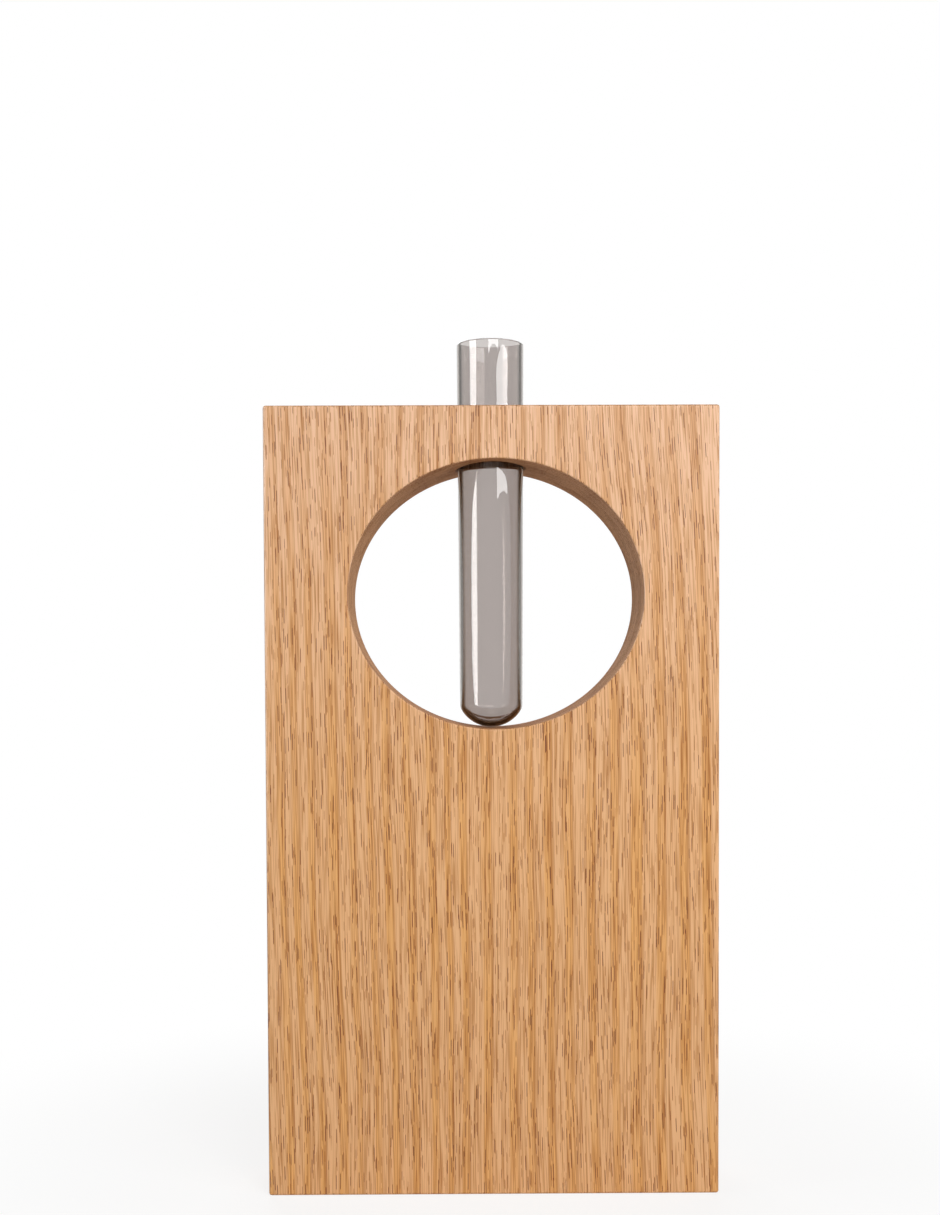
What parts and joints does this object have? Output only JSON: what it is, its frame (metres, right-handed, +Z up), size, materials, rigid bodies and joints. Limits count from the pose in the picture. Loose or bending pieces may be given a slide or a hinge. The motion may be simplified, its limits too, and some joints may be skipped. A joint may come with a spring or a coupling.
{
  "type": "test tube vase",
  "caption": "Upright wooden block vase with an oval window cut through it and a round-bottomed glass tube that drops in from the top and stands in the window.",
  "frame": {"origin": "middle of the block's underside, where the vase stands", "axes": "+Z up along the tube, X across the block's width, +Y from the front face to the back"},
  "size_m": [0.172, 0.044, 0.3269],
  "materials": {
    "oak": "sanded solid oak, clear matt oil, vertical grain",
    "smoky_glass": "clear glass tinted smoky taupe, fire-polished lip"
  },
  "bodies": {
    "block": {"oak_block": "oak"},
    "tube": {"glass_tube": "smoky_glass"}
  },
  "joints": [
    {"name": "tube_lift", "type": "slide", "parent": "block", "child": "tube", "axis": [0, 0, 1], "range_m": [0, 0.13]}
  ]
}
